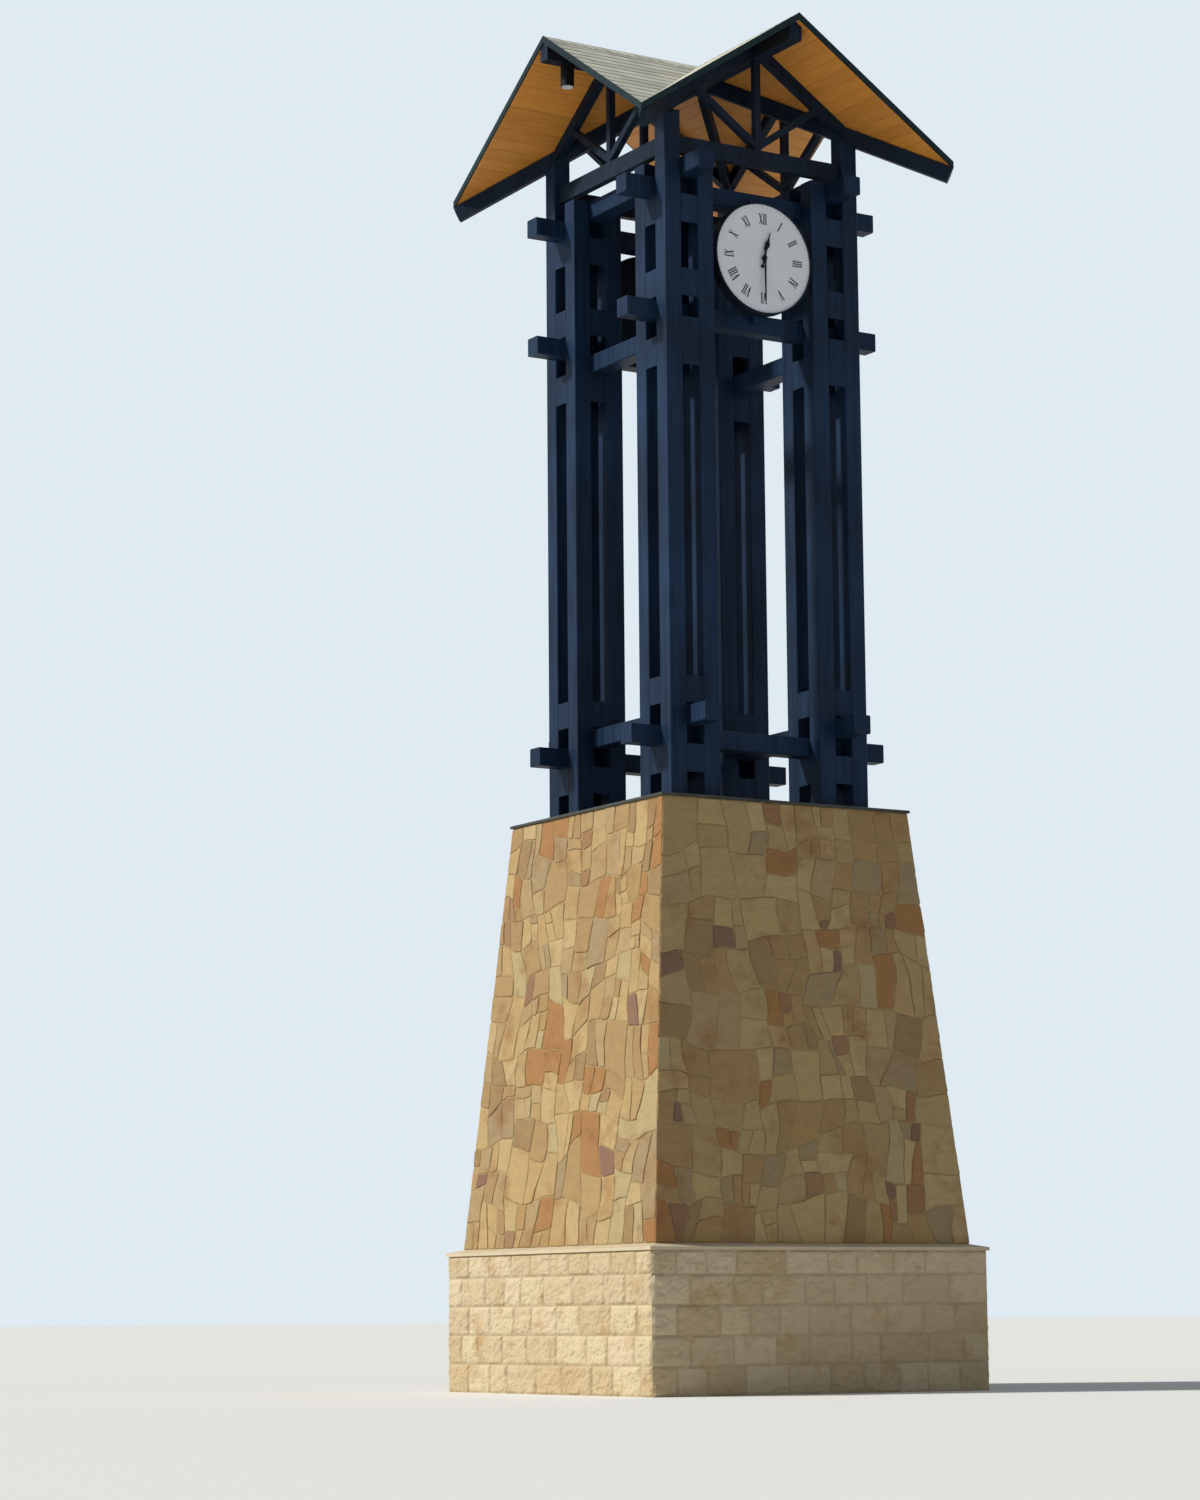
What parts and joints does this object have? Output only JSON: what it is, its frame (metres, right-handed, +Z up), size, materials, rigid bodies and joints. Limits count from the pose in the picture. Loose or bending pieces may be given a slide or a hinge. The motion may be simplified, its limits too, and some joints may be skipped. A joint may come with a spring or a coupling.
{
  "type": "clock tower",
  "caption": "Open steel clock tower with a cross-gable roof and round dials, on a battered stone base over a block plinth.",
  "frame": {"origin": "on the ground at the middle of the plinth", "axes": "+Z up; the front dial looks towards -Y, and the other dial towards +Y"},
  "size_m": [4.23, 4.23, 14.756],
  "materials": {
    "limestone": "split-face pale limestone blocks",
    "cap_stone": "sawn pale limestone",
    "flagstone": "brown and rust rubble facing",
    "coping_metal": "dark painted sheet",
    "frame_steel": "dark green-blue satin paint",
    "roof_steel": "dark green-blue satin paint",
    "edge_paint": "dark green satin paint",
    "pine": "oiled tongue-and-groove pine",
    "shingle": "weathered mineral-faced shingles",
    "case_paint": "dark satin paint",
    "dial_white": "white translucent sheet",
    "hand_black": "black satin paint",
    "lamp_paint": "dark satin paint",
    "lamp_glass": "frosted pale diffuser"
  },
  "bodies": {
    "tower": {"base_coping": "coping_metal", "ceiling_back": "pine", "ceiling_front": "pine", "ceiling_left": "pine", "ceiling_right": "pine", "clock_bracket_back": "frame_steel", "clock_bracket_front": "frame_steel", "clock_case_back": "case_paint", "clock_case_front": "case_paint", "column_back_left": "frame_steel", "column_back_right": "frame_steel", "column_front_left": "frame_steel", "column_front_right": "frame_steel", "dial_back": "dial_white", "dial_front": "dial_white", "edge_trim_back": "edge_paint", "edge_trim_front": "edge_paint", "edge_trim_left": "edge_paint", "edge_trim_right": "edge_paint", "gable_lamp": "lamp_paint", "gable_lamp_glass": "lamp_glass", "hour_hand_back": "hand_black", "lower_beams_across": "frame_steel", "lower_beams_deep": "frame_steel", "middle_beams_across": "frame_steel", "middle_beams_deep": "frame_steel", "minute_hand_back": "hand_black", "plinth": "limestone", "plinth_cap": "cap_stone", "ridge_beam_across": "roof_steel", "ridge_beam_deep": "roof_steel", "shingles_back": "shingle", "shingles_front": "shingle", "shingles_left": "shingle", "shingles_right": "shingle", "stone_base": "flagstone", "truss_back": "roof_steel", "truss_front": "roof_steel", "truss_left": "roof_steel", "truss_right": "roof_steel", "upper_beams_across": "frame_steel", "upper_beams_deep": "frame_steel", "valley_beams": "roof_steel"},
    "minute_hand": {"minute_hand_front": "hand_black"},
    "hour_hand": {"hour_hand_front": "hand_black"}
  },
  "joints": [
    {"name": "minute_hand_turn", "type": "hinge", "parent": "tower", "child": "minute_hand", "pos_m": [0, -1.3, 12.1935], "axis": [0, 1, 0], "continuous": true},
    {"name": "hour_hand_turn", "type": "hinge", "parent": "tower", "child": "hour_hand", "pos_m": [0, -1.3, 12.1935], "axis": [0, 1, 0], "continuous": true}
  ],
  "couplings": [
    {"joint": "hour_hand_turn", "follows": "minute_hand_turn", "ratio": 0.083333}
  ]
}
